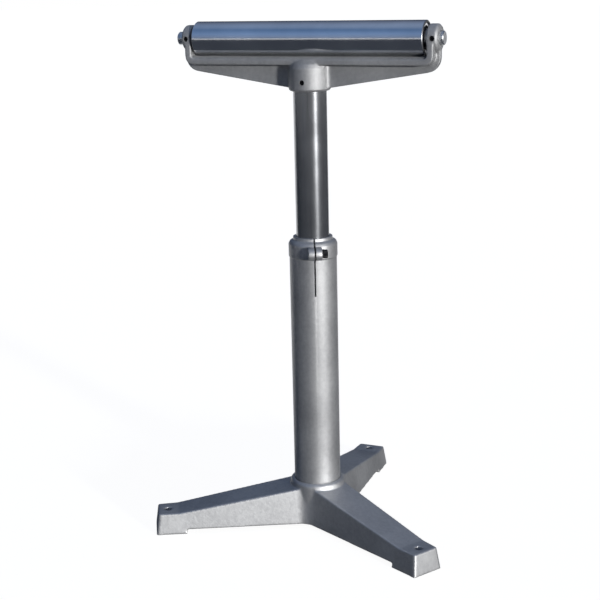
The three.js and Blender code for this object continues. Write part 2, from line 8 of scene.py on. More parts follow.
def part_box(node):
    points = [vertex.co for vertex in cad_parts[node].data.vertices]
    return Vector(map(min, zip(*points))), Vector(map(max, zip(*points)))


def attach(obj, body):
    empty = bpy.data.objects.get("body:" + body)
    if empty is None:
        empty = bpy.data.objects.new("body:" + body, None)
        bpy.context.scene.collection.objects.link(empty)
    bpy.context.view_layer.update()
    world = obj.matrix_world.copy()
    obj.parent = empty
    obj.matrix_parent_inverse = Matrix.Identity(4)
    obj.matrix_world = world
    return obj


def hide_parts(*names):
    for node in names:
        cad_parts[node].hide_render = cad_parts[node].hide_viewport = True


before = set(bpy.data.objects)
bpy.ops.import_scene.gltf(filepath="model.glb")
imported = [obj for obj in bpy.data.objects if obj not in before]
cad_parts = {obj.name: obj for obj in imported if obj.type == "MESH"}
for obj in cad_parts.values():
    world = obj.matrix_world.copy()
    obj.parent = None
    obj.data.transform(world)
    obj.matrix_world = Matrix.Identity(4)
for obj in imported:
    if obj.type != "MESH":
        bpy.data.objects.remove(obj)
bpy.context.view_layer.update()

# Foot: one iron casting, a hub with three hollow legs that end in bolt-down pads. It is sand
# cast, so its edges and inside corners are soft, and painted silver grey. Then the hub is bored
# for the column, and each pad is drilled for an anchor bolt.
FOOT_SKIN = 0.0012
FOOT_SOFT_PASSES = 14
FOOT_KEPT_FACES = 0.48
SOFT_SHARE = 0.5
SAME_POINT = 1e-6
MACHINED_POINT = 1e-5
CAST_SMOOTH_ANGLE = math.radians(50)
LEG_ANGLES = (90, 210, 330)
ANCHOR_REACH = 0.238
ANCHOR_RADIUS = 0.0057
ANCHOR_LENGTH = 0.2
DRILL_STEPS = 48
HUB_BORE = 0.0366
HUB_BORE_STEPS = 144
HUB_FILL = 0.002
PAINT_LIGHT = (0.640, 0.640, 0.637, 1)
PAINT_DEEP = (0.500, 0.500, 0.502, 1)
# Near-black painted shade for the castings' inside corners.
PAINT_CORNER_SHADE = (0.080, 0.081, 0.085, 1)
PAINT_WORN = (0.680, 0.682, 0.685, 1)
PAINT_METALLIC = 0.92
PAINT_ROUGH = 0.45
PAINT_CLOUDS = 14
PAINT_LUMPS = 170
PAINT_GRIT = 620
PAINT_RELIEF = 0.0008
PAINT_RELIEF_SHARE = 0.3
WORN_EDGE = (0.54, 0.62)
SHADED_CORNER = (0.48, 0.43)


def add_piece(name, form):
    """A bmesh form as a named piece, with its place in its mesh."""
    mesh = bpy.data.meshes.new(name)
    form.to_mesh(mesh)
    form.free()
    piece = bpy.data.objects.new(name, mesh)
    bpy.context.scene.collection.objects.link(piece)
    return piece


def add_bar(form, place, radius, length, steps):
    """A round bar about its place's own Z, as metal to be cut or as a tool to cut with."""
    bmesh.ops.create_cone(
        form,
        cap_ends=True,
        segments=steps,
        radius1=radius,
        radius2=radius,
        depth=length,
        matrix=place,
    )


def cast_piece(name, node, skin, soft_passes, kept_faces, fills):
    """A CAD casting with the soft edges and filled corners that a sand mould leaves.
    fills are the bars that close its bores, which are cut once the casting is made."""
    form = bmesh.new()
    form.from_mesh(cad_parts[node].data)
    bmesh.ops.remove_doubles(form, verts=form.verts, dist=SAME_POINT)
    for fill in fills:
        add_bar(form, *fill)
    piece = add_piece(name, form)
    shell = piece.modifiers.new("mould skin", "REMESH")
    shell.mode = "VOXEL"
    shell.voxel_size = skin
    shell.use_smooth_shade = True
    edges = piece.modifiers.new("soft edges", "SMOOTH")
    edges.factor = SOFT_SHARE
    edges.iterations = soft_passes
    lighter = piece.modifiers.new("fewer faces", "DECIMATE")
    lighter.ratio = kept_faces
    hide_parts(node)
    return piece


def machined(piece, tool, operation):
    """Joins a tool's form to a piece or cuts it away, and leaves no tool behind."""
    step = piece.modifiers.new("machined", "BOOLEAN")
    step.operation = operation
    step.solver = "EXACT"
    step.object = tool
    worked = piece.evaluated_get(bpy.context.evaluated_depsgraph_get())
    form = bmesh.new()
    form.from_mesh(worked.data)
    bmesh.ops.remove_doubles(form, verts=form.verts, dist=MACHINED_POINT)
    bmesh.ops.dissolve_degenerate(form, edges=form.edges, dist=MACHINED_POINT)
    form.to_mesh(piece.data)
    form.free()
    piece.modifiers.clear()
    bpy.data.objects.remove(tool)


class Shade:
    """A socket in a finish's nodes, so that masks are written as sums and products."""

    def __init__(self, tree, socket=None):
        self.tree = tree
        self.socket = socket

    def node(self, kind, settings, inputs, output=0):
        made = self.tree.nodes.new("ShaderNode" + kind)
        for name, value in settings.items():
            if name == "stops":
                ramp = made.color_ramp
                while len(ramp.elements) < len(value):
                    ramp.elements.new(0.5)
                for stop, (place, colour) in zip(ramp.elements, value):
                    stop.position = place
                    stop.color = colour
            else:
                setattr(made, name, value)
        for name, value in inputs.items():
            if isinstance(value, Shade):
                self.tree.links.new(value.socket, made.inputs[name])
            else:
                made.inputs[name].default_value = value
        return Shade(self.tree, made.outputs[output])

    def maths(self, operation, first, second):
        return self.node("Math", {"operation": operation}, {0: first, 1: second})

    def __add__(self, other):
        return self.maths("ADD", self, other)

    def __radd__(self, other):
        return self.maths("ADD", other, self)

    def __sub__(self, other):
        return self.maths("SUBTRACT", self, other)

    def __rsub__(self, other):
        return self.maths("SUBTRACT", other, self)

    def __mul__(self, other):
        return self.maths("MULTIPLY", self, other)

    def __rmul__(self, other):
        return self.maths("MULTIPLY", other, self)

    def __abs__(self):
        return self.maths("ABSOLUTE", self, 0)

    def range(self, low, high):
        """This value stretched so that low is 0 and high is 1, and held there."""
        span = {"From Min": low, "From Max": high}
        return self.node("MapRange", {"clamp": True}, {"Value": self, **span})

    def noise(self, scale, detail):
        """Cloudy noise at this place, so many clouds to the metre."""
        return self.node("TexNoise", {}, {"Vector": self, "Scale": scale, "Detail": detail}, "Fac")

    def stretched(self, along_x, along_y, along_z):
        """This place scaled along each axis, to draw a pattern out into lines."""
        return self.node("Mapping", {}, {"Vector": self, "Scale": (along_x, along_y, along_z)})

    def relief(self, share, depth):
        """A bumped surface normal, of this height."""
        return self.node("Bump", {}, {"Height": self, "Strength": share, "Distance": depth}, "Normal")

    def beside(self, output):
        """Another output of the node that this one comes from."""
        return Shade(self.tree, self.socket.node.outputs[output])

    def mixed(self, first, second):
        """Two colours mixed by this mask."""
        return self.node("Mix", {"data_type": "RGBA"}, {0: self, 6: first, 7: second}, 2)


def finish_nodes(name):
    """A new finish: its material, a blank shade to start its nodes from, and its shader."""
    finish = bpy.data.materials.new(name)
    finish.use_nodes = True
    tree = finish.node_tree
    return finish, Shade(tree), tree.nodes["Principled BSDF"]


def feed(shader, **inputs):
    """Sets or links the shader's sockets, named with _ for a space."""
    for name, value in inputs.items():
        socket = shader.inputs[name.replace("_", " ")]
        if isinstance(value, Shade):
            value.tree.links.new(value.socket, socket)
        else:
            socket.default_value = value


def cast_paint(name, light, deep, rough):
    """Silver-grey enamel over sand-cast iron: a fine grit, soft clouds, worn edges and painted shade
    in the inside corners.
    """
    finish, start, shader = finish_nodes(name)
    place = start.node("TexCoord", {}, {}, "Object")
    clouds = place.noise(PAINT_CLOUDS, detail=5)
    grit = place.noise(PAINT_GRIT, detail=2)
    lumps = place.noise(PAINT_LUMPS, detail=4)
    pointed = start.node("NewGeometry", {}, {}, "Pointiness")
    rubbed = pointed.range(*WORN_EDGE) * lumps.range(0.35, 0.65)
    # Inside corners are darkened: painted shade.
    corner_shade = pointed.range(*SHADED_CORNER) * clouds.range(0.25, 0.7)
    mottle = (clouds * 0.5 + lumps * 0.3 + grit * 0.2).range(0.38, 0.62)
    colour = mottle.mixed(deep, light)
    colour = (corner_shade * 0.6).mixed(colour, PAINT_CORNER_SHADE)
    colour = (rubbed * 0.5).mixed(colour, PAINT_WORN)
    height = grit * 0.3 + lumps * 0.7
    relief = height.relief(PAINT_RELIEF_SHARE, PAINT_RELIEF)
    gloss = rough + 0.1 * grit + 0.12 * clouds - 0.06 * rubbed
    feed(shader, Base_Color=colour, Roughness=gloss, Metallic=PAINT_METALLIC, Normal=relief)
    return finish


paint = cast_paint("cast_paint", PAINT_LIGHT, PAINT_DEEP, PAINT_ROUGH)
post_low, post_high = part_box("inner_column")
axis = (post_low + post_high) / 2
floor_centre = Vector((axis.x, axis.y, 0))
column_low, column_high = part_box("outer_column")
hub_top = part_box("base_casting")[1].z
hub_depth = hub_top - column_low.z
hub_middle = Matrix.Translation(floor_centre + Vector((0, 0, (hub_top + column_low.z) / 2)))
foot = cast_piece(
    "foot",
    "base_casting",
    FOOT_SKIN,
    FOOT_SOFT_PASSES,
    FOOT_KEPT_FACES,
    [(hub_middle, HUB_BORE + HUB_FILL, hub_depth, HUB_BORE_STEPS)],
)
anchor_form = bmesh.new()
for angle in LEG_ANGLES:
    leg = Matrix.Rotation(math.radians(angle), 4, "Z") @ Matrix.Translation((ANCHOR_REACH, 0, 0))
    pad = Matrix.Translation(floor_centre) @ leg
    add_bar(anchor_form, pad, ANCHOR_RADIUS, ANCHOR_LENGTH, DRILL_STEPS)
machined(foot, add_piece("anchor_drill", anchor_form), "DIFFERENCE")
hub_form = bmesh.new()
hub_reach = Matrix.Translation((0, 0, hub_depth / 2))
add_bar(hub_form, hub_middle @ hub_reach, HUB_BORE, 2 * hub_depth, HUB_BORE_STEPS)
machined(foot, add_piece("hub_borer", hub_form), "DIFFERENCE")
foot.data.set_sharp_from_angle(angle=CAST_SMOOTH_ANGLE)
foot.data.materials.append(paint)
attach(foot, "foot")

# Clamp column: a cast tube with a collar at its head, bored for the post and sawn down one side,
# with two lugs that the clamp screw draws together. Its foot is let into the hub.
COLUMN_STEPS = 144
COLUMN_RADIUS = 0.036
COLUMN_BORE = 0.0253
COLUMN_CORE = 0.0283
COLUMN_BORED_LENGTH = 0.130
COLLAR_RADIUS = 0.0371
COLLAR_TOP_DROP = 0.011
COLLAR_HEIGHT = 0.019
RIM_RADIUS = 0.0299
RIM_HEIGHT = 0.0045
RIM_EDGE = 0.0011
EDGE_SEGMENTS = 3
SLIT_ANGLE = math.radians(-63.5)
SLIT_WIDTH = 0.0026
SLIT_LENGTH = 0.087
LUG_HALF_WIDTH = 0.0105
LUG_HEIGHT = 0.019
LUG_AXIS = 0.043
LUG_DROP = 0.020
LUG_ROOT = 0.031
LUG_EDGE = 0.0012
LUG_STEPS = 24
SCREW_HOLE = 0.0043
UP = Vector((0, 0, 1))
SMOOTH_ANGLE = math.radians(35)
RING_ANGLE = math.radians(25)
SQUARE_ON = 0.01

column_top = column_high.z


def turned(profile, centre, direction, steps, closed=True):
    """A line of (radius, distance along) points turned about a centre line."""
    form = bmesh.new()
    side = direction.orthogonal().normalized()
    corners = [form.verts.new(centre + side * radius + direction * along) for radius, along in profile]
    ends = corners[1:] + corners[:1] if closed else corners[1:]
    lines = [form.edges.new(pair) for pair in zip(corners, ends)]
    bmesh.ops.spin(
        form,
        geom=corners + lines,
        cent=centre,
        axis=direction,
        angle=2 * math.pi,
        steps=steps,
        use_merge=True,
    )
    bmesh.ops.remove_doubles(form, verts=form.verts, dist=SAME_POINT)
    bmesh.ops.recalc_face_normals(form, faces=form.faces)
    return form


def round_rings(form, direction, size, segments):
    """Rounds the sharp turned edges, which run round the centre line."""
    rings = [
        edge
        for edge in form.edges
        if edge.is_manifold
        and edge.calc_face_angle() > RING_ANGLE
        and abs((edge.verts[1].co - edge.verts[0].co).normalized().dot(direction)) < SQUARE_ON
    ]
    bmesh.ops.bevel(
        form,
        geom=rings,
        offset=size,
        affect="EDGES",
        segments=segments,
        profile=0.5,
        material=-1,
        clamp_overlap=True,
    )


def smooth_shaded(piece):
    """Shades a machined piece smooth, with its corners left sharp."""
    piece.data.shade_smooth()
    piece.data.set_sharp_from_angle(angle=SMOOTH_ANGLE)


collar_top = column_top - COLLAR_TOP_DROP
collar_foot = collar_top - COLLAR_HEIGHT
shoulder = column_top - RIM_HEIGHT
bore_foot = column_top - COLUMN_BORED_LENGTH
collar_stand = COLLAR_RADIUS - COLUMN_RADIUS
column_form = turned(
    [
        (COLUMN_RADIUS, column_low.z),
        (COLUMN_RADIUS, collar_foot - collar_stand),
        (COLLAR_RADIUS, collar_foot),
        (COLLAR_RADIUS, collar_top),
        ((2 * COLLAR_RADIUS + RIM_RADIUS) / 3, (collar_top + 2 * shoulder) / 3),
        (RIM_RADIUS, shoulder),
        (RIM_RADIUS, column_top),
        (COLUMN_BORE, column_top),
        (COLUMN_BORE, bore_foot),
        (COLUMN_CORE, bore_foot + COLUMN_BORE - COLUMN_CORE),
        (COLUMN_CORE, column_low.z),
    ],
    floor_centre,
    UP,
    COLUMN_STEPS,
)
round_rings(column_form, UP, RIM_EDGE, EDGE_SEGMENTS)
column = add_piece("clamp_column", column_form)

clamp_place = Matrix.Translation(floor_centre) @ Matrix.Rotation(SLIT_ANGLE, 4, "Z")
clamp_height = column_top - LUG_DROP


def points_of(parts):
    """The points among the parts that an operator made."""
    return [part for part in parts if isinstance(part, bmesh.types.BMVert)]


def lug_block():
    """Both lugs as one block with a round nose, before the saw parts them."""
    form = bmesh.new()
    half = LUG_HEIGHT / 2
    side = -LUG_HALF_WIDTH
    low = form.verts.new((LUG_ROOT, side, clamp_height - half))
    corner = form.verts.new((LUG_AXIS, side, clamp_height - half))
    high = form.verts.new((LUG_ROOT, side, clamp_height + half))
    form.edges.new((low, corner))
    nose = bmesh.ops.spin(
        form,
        geom=[corner],
        cent=(LUG_AXIS, 0, clamp_height),
        axis=(0, -1, 0),
        angle=math.pi,
        steps=LUG_STEPS,
    )
    form.edges.new((points_of(nose["geom_last"])[0], high))
    form.edges.new((high, low))
    face = bmesh.ops.contextual_create(form, geom=form.edges[:])["faces"]
    run = bmesh.ops.extrude_face_region(form, geom=face)
    bmesh.ops.translate(form, verts=points_of(run["geom"]), vec=(0, 2 * LUG_HALF_WIDTH, 0))
    bmesh.ops.recalc_face_normals(form, faces=form.faces)
    sides = [side for side in form.faces if abs(side.normal.y) > 1 - SQUARE_ON]
    rims = {edge for side in sides for edge in side.edges}
    bmesh.ops.bevel(
        form,
        geom=list(rims),
        offset=LUG_EDGE,
        affect="EDGES",
        segments=EDGE_SEGMENTS,
        profile=0.5,
        material=-1,
    )
    bmesh.ops.transform(form, matrix=clamp_place, verts=form.verts)
    return add_piece("lugs", form)


def saw_cut():
    """The saw's kerf, from the head of the column down its slit side."""
    form = bmesh.new()
    reach = 2 * LUG_AXIS
    size = Matrix.Diagonal((reach, SLIT_WIDTH, 2 * SLIT_LENGTH, 1))
    place = clamp_place @ Matrix.Translation((reach / 2, 0, column_top)) @ size
    bmesh.ops.create_cube(form, size=1, matrix=place)
    return add_piece("saw", form)


def screw_drill():
    """The clearance hole for the clamp screw through both lugs."""
    form = bmesh.new()
    turn = Matrix.Rotation(math.pi / 2, 4, "X")
    place = clamp_place @ Matrix.Translation((LUG_AXIS, 0, clamp_height)) @ turn
    add_bar(form, place, SCREW_HOLE, 4 * LUG_HALF_WIDTH, DRILL_STEPS)
    return add_piece("drill", form)


machined(column, lug_block(), "UNION")
machined(column, saw_cut(), "DIFFERENCE")
machined(column, screw_drill(), "DIFFERENCE")
smooth_shaded(column)
column.data.materials.append(paint)
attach(column, "foot")
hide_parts("outer_column")

# Clamp screw: a black hexagon-socket cap screw, knurled round its head, that runs through one
# lug and threads into the other.
SCREW_STEPS = 96
SCREW_RADIUS = 0.004
HEAD_RADIUS = 0.0065
HEAD_LENGTH = 0.008
HEAD_EDGE = 0.0008
KNURL_DEPTH = 0.00025
KNURL_PLAIN = 0.0012
KEY_SIDES = 6
KEY_ACROSS = 0.006
KEY_DEPTH = 0.004
THREAD_PITCH = 0.00125
THREAD_DEPTH = 0.0007
FIT = 0.0003
BLACK_OXIDE = (0.020, 0.020, 0.023, 1)
BLACK_RUBBED = (0.150, 0.150, 0.155, 1)
BLACK_CLOUDS = 420
BLACK_ROUGH = 0.34
BLACK_METALLIC = 0.75


def thread(radius, start, length):
    """The outline of a screw thread, crest by crest, as (radius, distance along) points."""
    turns = int(length / THREAD_PITCH)
    crests = [start + turn * THREAD_PITCH for turn in range(turns)]
    outline = []
    for crest in crests:
        outline.append((radius, crest))
        outline.append((radius - THREAD_DEPTH, crest + THREAD_PITCH / 2))
    return outline


def knurl(form, radius, low, high):
    """Presses every other line of a turned head in, between two heights."""
    step = 2 * math.pi / SCREW_STEPS
    lines = [
        vert
        for vert in form.verts
        if low < vert.co.z < high
        and abs(vert.co.xy.length - radius) < SAME_POINT
        and round(math.atan2(vert.co.y, vert.co.x) / step) % 2
    ]
    pressed = 1 - KNURL_DEPTH / radius
    bmesh.ops.scale(form, vec=(pressed, pressed, 1), verts=lines)


def socket_screw(name, profile, key_across, key_depth, place, knurled=None):
    """A turned screw, tip first, whose last ring is closed by a hexagon key socket."""
    form = turned(profile, Vector(), UP, SCREW_STEPS, closed=False)
    if knurled:
        knurl(form, *knurled)
    top = profile[-1][1]
    rim = [edge for edge in form.edges if edge.is_boundary]
    key = bmesh.ops.create_circle(
        form,
        segments=KEY_SIDES,
        radius=key_across / math.sqrt(3),
        matrix=Matrix.Translation((0, 0, top)),
    )
    sides = list({edge for vert in key["verts"] for edge in vert.link_edges})
    cuts = SCREW_STEPS // KEY_SIDES - 1
    bmesh.ops.subdivide_edges(form, edges=sides, cuts=cuts)
    mouth = [edge for edge in form.edges if edge.is_wire]
    bmesh.ops.bridge_loops(form, edges=rim + mouth)
    walls = bmesh.ops.extrude_edge_only(form, edges=mouth)
    bmesh.ops.translate(form, verts=points_of(walls["geom"]), vec=(0, 0, -key_depth))
    bmesh.ops.holes_fill(form, edges=[edge for edge in form.edges if edge.is_boundary])
    bmesh.ops.recalc_face_normals(form, faces=form.faces)
    bmesh.ops.transform(form, matrix=place, verts=form.verts)
    screw = add_piece(name, form)
    smooth_shaded(screw)
    return screw


def black_oxide():
    """Oil-blacked steel, rubbed grey where a key or a hand has touched it."""
    finish, start, shader = finish_nodes("black_oxide")
    place = start.node("TexCoord", {}, {}, "Object")
    rub = place.noise(BLACK_CLOUDS, detail=3)
    colour = (rub.range(0.45, 0.85) * 0.35).mixed(BLACK_OXIDE, BLACK_RUBBED)
    feed(shader, Base_Color=colour, Roughness=BLACK_ROUGH + 0.2 * rub, Metallic=BLACK_METALLIC)
    return finish


blacked = black_oxide()
shank = 2 * LUG_HALF_WIDTH
clamp_turn = Matrix.Rotation(-math.pi / 2, 4, "X")
clamp_seat = Matrix.Translation((LUG_AXIS, LUG_HALF_WIDTH + FIT, clamp_height))
clamp_screw = socket_screw(
    "cap_screw",
    [
        (0, -shank),
        (SCREW_RADIUS - HEAD_EDGE, -shank),
        *thread(SCREW_RADIUS, HEAD_EDGE - shank, shank / 2),
        (SCREW_RADIUS, -shank / 2 + THREAD_PITCH),
        (SCREW_RADIUS, 0),
        (HEAD_RADIUS, 0),
        (HEAD_RADIUS, KNURL_PLAIN),
        (HEAD_RADIUS, KNURL_PLAIN + KNURL_DEPTH),
        (HEAD_RADIUS, HEAD_LENGTH - HEAD_EDGE - KNURL_DEPTH),
        (HEAD_RADIUS, HEAD_LENGTH - HEAD_EDGE),
        (HEAD_RADIUS - HEAD_EDGE, HEAD_LENGTH),
    ],
    KEY_ACROSS,
    KEY_DEPTH,
    clamp_place @ clamp_seat @ clamp_turn,
    knurled=(HEAD_RADIUS, KNURL_PLAIN, HEAD_LENGTH - HEAD_EDGE),
)
clamp_screw.data.materials.append(blacked)
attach(clamp_screw, "clamp_screw")
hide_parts("clamp_screw")

# Sliding post: a drawn steel tube, ground and polished. It slides in the clamp column, which
# grips it at any height, and its head is let into the yoke's socket.
POST_STEEL = (0.380, 0.387, 0.398, 1)
POST_STAIN = (0.300, 0.306, 0.316, 1)
POST_SCORED = (0.190, 0.196, 0.206, 1)
POST_ROUGH = 0.12
POST_METALLIC = 0.9
POST_CLOUDS = 24
POST_RINGS = (12, 12, 900)
POST_SCORES = (420, 420, 5)
POST_RELIEF = 0.0001
POST_RELIEF_SHARE = 0.03
POST_STEPS = 128
POST_CHAMFER = 0.0015
POST_WALL = 0.005

post_radius = (post_high.x - post_low.x) / 2
post_form = turned(
    [
        (post_radius - POST_CHAMFER, post_low.z),
        (post_radius, post_low.z + POST_CHAMFER),
        (post_radius, post_high.z - POST_CHAMFER),
        (post_radius - POST_CHAMFER, post_high.z),
        (post_radius - POST_WALL, post_high.z),
        (post_radius - POST_WALL, post_low.z),
    ],
    floor_centre,
    UP,
    POST_STEPS,
)
post = add_piece("sliding_post", post_form)
smooth_shaded(post)


def ground_steel():
    """Polished steel: fine rings from the wheel, score lines from the clamp and oil clouds."""
    finish, start, shader = finish_nodes("post_steel")
    place = start.node("TexCoord", {}, {}, "Object")
    lines = place.stretched(*POST_RINGS).noise(1, detail=3)
    scores = place.stretched(*POST_SCORES).noise(1, detail=3)
    clouds = place.noise(POST_CLOUDS, detail=5)
    colour = clouds.range(0.35, 0.7).mixed(POST_STAIN, POST_STEEL)
    colour = (scores.range(0.52, 0.72) * 0.6).mixed(colour, POST_SCORED)
    rough = POST_ROUGH + 0.06 * lines + 0.08 * clouds + 0.08 * scores
    relief = lines.relief(POST_RELIEF_SHARE, POST_RELIEF)
    feed(shader, Base_Color=colour, Roughness=rough, Metallic=POST_METALLIC, Normal=relief)
    return finish


post.data.materials.append(ground_steel())
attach(post, "post")
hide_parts("inner_column")

# Yoke: one casting, a U-shaped flange with a rib under it, a socket for the post and two ears
# for the axle. It is sand cast and painted like the foot, in a darker, rougher copy of the foot's
# paint that dims its highlights: painted shade. Then it is bored for the post and the axle and
# drilled for the set screws.
YOKE_SKIN = 0.001
YOKE_SOFT_PASSES = 8
YOKE_KEPT_FACES = 0.7
# The yoke's paint is a darker copy of the foot's paint: painted shade.
YOKE_SHADED_LIGHT = (0.530, 0.530, 0.528, 1)
YOKE_SHADED_DEEP = (0.410, 0.410, 0.412, 1)
YOKE_ROUGH = 0.56
POST_BORE = 0.0254
AXLE_BORE = 0.0104
SCREW_BORE = 0.004
BORE_FILL = 0.001
BORE_STEPS = 96
EAR_INSIDE = 0.1845
EAR_LENGTH = 0.0155
EAR_FACE = 0.020
SOCKET_FACE = 0.031
DRILL_PAST = 0.01
FRONT = Matrix.Rotation(math.pi / 2, 4, "X")
SIDEWAYS = Matrix.Rotation(math.pi / 2, 4, "Y")
SET_SCREWS = {
    "column_set_screw": SOCKET_FACE,
    "axle_set_screw_left": EAR_FACE,
    "axle_set_screw_right": EAR_FACE,
}

axle_low, axle_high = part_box("axle")
axle_middle = (axle_low + axle_high) / 2
roller_middle = Vector((axis.x, axle_middle.y, axle_middle.z))
socket_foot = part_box("head_yoke")[0].z
socket_depth = post_high.z - socket_foot
socket_middle = Vector((axis.x, axis.y, (post_high.z + socket_foot) / 2))


def screw_bar(node, face, past, radius):
    """A bar on a set screw's line, from outside the casting's face to the screw's tip."""
    low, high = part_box(node)
    start = axis.y - face - past
    length = high.y - start
    middle = Vector(((low.x + high.x) / 2, start + length / 2, (low.z + high.z) / 2))
    return Matrix.Translation(middle) @ FRONT, radius, length, BORE_STEPS


fills = [(Matrix.Translation(socket_middle), POST_BORE + BORE_FILL, socket_depth, BORE_STEPS)]
for side in (-1, 1):
    ear = roller_middle + Vector((side * (EAR_INSIDE + EAR_LENGTH / 2), 0, 0))
    fills.append((Matrix.Translation(ear) @ SIDEWAYS, AXLE_BORE + BORE_FILL, EAR_LENGTH, BORE_STEPS))
for node, face in SET_SCREWS.items():
    fills.append(screw_bar(node, face, 0, SCREW_BORE + BORE_FILL))
yoke = cast_piece("yoke", "head_yoke", YOKE_SKIN, YOKE_SOFT_PASSES, YOKE_KEPT_FACES, fills)
borer_form = bmesh.new()
below = Matrix.Translation(socket_middle - Vector((0, 0, DRILL_PAST / 2)))
add_bar(borer_form, below, POST_BORE, socket_depth + DRILL_PAST, BORE_STEPS)
through = Matrix.Translation(roller_middle) @ SIDEWAYS
add_bar(borer_form, through, AXLE_BORE, 3 * EAR_INSIDE, BORE_STEPS)
machined(yoke, add_piece("borer", borer_form), "DIFFERENCE")
drill_form = bmesh.new()
for node, face in SET_SCREWS.items():
    add_bar(drill_form, *screw_bar(node, face, DRILL_PAST, SCREW_BORE))
machined(yoke, add_piece("screw_drill", drill_form), "DIFFERENCE")
yoke.data.set_sharp_from_angle(angle=CAST_SMOOTH_ANGLE)
yoke.data.materials.append(cast_paint("yoke_paint_shaded", YOKE_SHADED_LIGHT, YOKE_SHADED_DEEP, YOKE_ROUGH))
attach(yoke, "head")

# Set screws: three black headless screws, one in the socket that holds the post and one in each
# ear that holds the axle. They are sunk a little below the casting.
SET_RADIUS = 0.0037
SET_KEY = 0.004
SET_KEY_DEPTH = 0.003
SET_EDGE = 0.0007

for name in SET_SCREWS:
    low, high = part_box(name)
    middle = (low + high) / 2
    length = high.y - low.y
    set_screw = socket_screw(
        name.replace("set_screw", "grub_screw"),
        [
            (0, 0),
            (SET_RADIUS - 2 * SET_EDGE, 0),
            *thread(SET_RADIUS, SET_EDGE, length - THREAD_PITCH - SET_EDGE),
            (SET_RADIUS, length - SET_EDGE),
            (SET_RADIUS - SET_EDGE, length),
        ],
        SET_KEY,
        SET_KEY_DEPTH,
        Matrix.Translation((middle.x, high.y, middle.z)) @ FRONT,
    )
    set_screw.data.materials.append(blacked)
    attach(set_screw, "head")
    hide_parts(name)

# Axle: a bright zinc-plated steel rod through both ears, which the set screws hold. A short
# turned spacer on it, inside each ear, keeps the bearing off the casting.
AXLE_STEPS = 96
AXLE_CHAMFER = 0.0012
SPACER_STEPS = 72
SPACER_EDGE = 0.0004
RING_EDGE_SEGMENTS = 2
ZINC = (0.72, 0.735, 0.745, 1)
ZINC_DULL = (0.50, 0.515, 0.535, 1)
ZINC_SPANGLE = 260
ZINC_CLOUDS = 90
ZINC_ROUGH = 0.26
ENDS = ("left", "right")
ALONG = Vector((1, 0, 0))

axle_half = (axle_high.x - axle_low.x) / 2
axle_radius = (axle_high.z - axle_low.z) / 2
axle_form = turned(
    [
        (0, -axle_half),
        (axle_radius - AXLE_CHAMFER, -axle_half),
        (axle_radius, AXLE_CHAMFER - axle_half),
        (axle_radius, axle_half - AXLE_CHAMFER),
        (axle_radius - AXLE_CHAMFER, axle_half),
        (0, axle_half),
    ],
    axle_middle,
    ALONG,
    AXLE_STEPS,
    closed=False,
)


def bright_zinc():
    """Zinc plate: bright, with cloudy spangle and small dull spots."""
    finish, start, shader = finish_nodes("axle_zinc")
    place = start.node("TexCoord", {}, {}, "Object")
    spangle = start.node("TexVoronoi", {}, {"Vector": place, "Scale": ZINC_SPANGLE}, "Distance")
    clouds = place.noise(ZINC_CLOUDS, detail=4)
    colour = (clouds * 0.8 + spangle * 0.3).range(0.3, 0.8).mixed(ZINC, ZINC_DULL)
    feed(shader, Base_Color=colour, Roughness=ZINC_ROUGH + 0.2 * clouds, Metallic=1.0)
    return finish


zinc = bright_zinc()
axle = add_piece("axle_rod", axle_form)
smooth_shaded(axle)
axle.data.materials.append(zinc)
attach(axle, "head")
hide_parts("axle")


def turned_ring(name, node, inner, edge, steps):
    """A plain ring as wide as its CAD node, with its four edges broken."""
    low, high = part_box(node)
    middle = (low + high) / 2
    half = (high.x - low.x) / 2
    outer = (high.z - low.z) / 2
    form = turned(
        [(inner, -half), (outer, -half), (outer, half), (inner, half)],
        middle,
        ALONG,
        steps,
    )
    round_rings(form, ALONG, edge, RING_EDGE_SEGMENTS)
    ring = add_piece(name, form)
    smooth_shaded(ring)
    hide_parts(node)
    return ring


for end in ENDS:
    node = f"axle_spacer_{end}"
    spacer = turned_ring(f"spacer_{end}", node, axle_radius + FIT, SPACER_EDGE, SPACER_STEPS)
    spacer.data.materials.append(zinc)
    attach(spacer, "head")

# Ball bearings: one in each end of the roller, of hardened steel rings and balls, a brass cage
# and two rubber seals. The outer ring turns with the roller and the inner one stays on the axle.
RING_STEPS = 96
BALL_RADIUS = 0.003175
BALL_COUNT = 9
BALL_PITCH = 0.0155
BALL_FINENESS = 3
RACE_SHOULDER = 0.0021
RACE_STEPS = 10
CAGE_HALF_THICKNESS = 0.0011
CAGE_STEPS = 4 * BALL_COUNT
CAGE_EDGE = 0.00025
POCKET_STEPS = 32
SEAL_EDGE = 0.00025
BEARING_STEEL = (0.62, 0.63, 0.65, 1)
BEARING_SHADE = (0.48, 0.49, 0.51, 1)
BRASS = (0.62, 0.44, 0.16, 1)
BRASS_DULL = (0.40, 0.27, 0.10, 1)
RUBBER = (0.040, 0.040, 0.042, 1)
RUBBER_DUSTY = (0.085, 0.085, 0.088, 1)


def cloudy_finish(name, first, second, scale, rough, metallic):
    """A plain finish with slow clouds of a second tone."""
    finish, start, shader = finish_nodes(name)
    place = start.node("TexCoord", {}, {}, "Object")
    clouds = place.noise(scale, detail=4)
    colour = clouds.range(0.35, 0.65).mixed(first, second)
    feed(shader, Base_Color=colour, Roughness=rough + 0.15 * clouds, Metallic=metallic)
    return finish


bearing_steel = cloudy_finish(
    "bearing_steel", BEARING_STEEL, BEARING_SHADE, scale=200, rough=0.1, metallic=1.0
)
cage_brass = cloudy_finish("cage_brass", BRASS, BRASS_DULL, scale=240, rough=0.25, metallic=1.0)
seal_rubber = cloudy_finish("seal_rubber", RUBBER, RUBBER_DUSTY, scale=300, rough=0.6, metallic=0.0)


